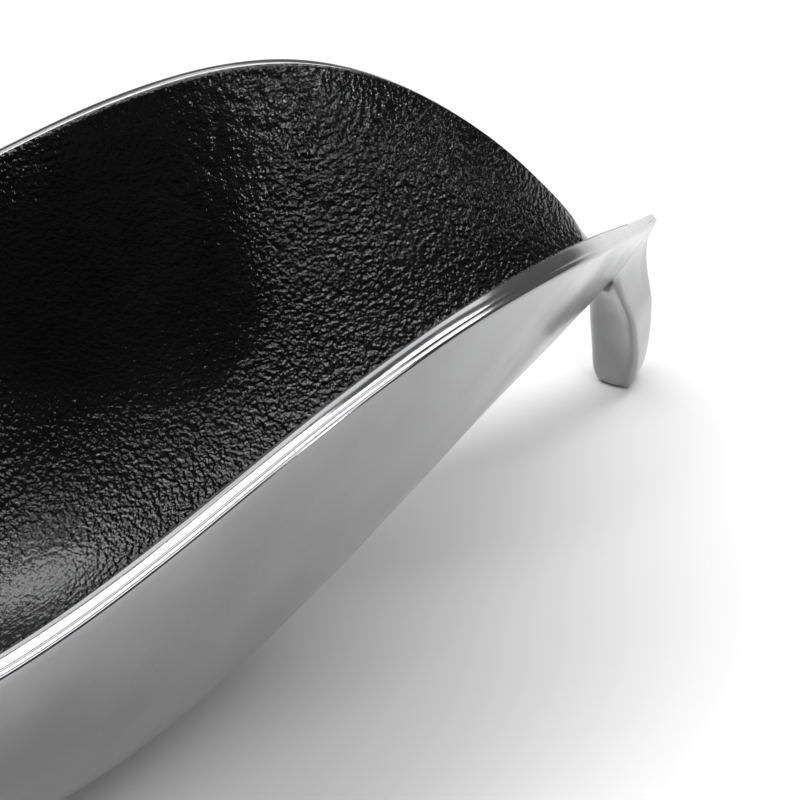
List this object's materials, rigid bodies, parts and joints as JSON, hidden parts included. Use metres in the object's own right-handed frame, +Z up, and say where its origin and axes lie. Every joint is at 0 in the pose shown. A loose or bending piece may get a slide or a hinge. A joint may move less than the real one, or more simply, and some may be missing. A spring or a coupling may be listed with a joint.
{
  "type": "footed leaf bowl",
  "caption": "Long leaf-shaped cast aluminium bowl with curled sides, a polished outside, a black enamel inside and a short leg under each tip.",
  "frame": {"origin": "on the table under the middle of the ground belly", "axes": "+X along the leaf, +Y towards the side that both tips sweep to, +Z up"},
  "size_m": [0.51, 0.1704, 0.1204],
  "materials": {
    "polished_aluminium": "hand polished, with fine buffing marks and small casting pits",
    "black_enamel": "semi-gloss black enamel over a rough, wrinkled casting"
  },
  "bodies": {
    "root": {"cast_shell": "polished_aluminium", "enamel_lining": "black_enamel", "leg_right": "polished_aluminium", "leg_left": "polished_aluminium"}
  },
  "joints": []
}
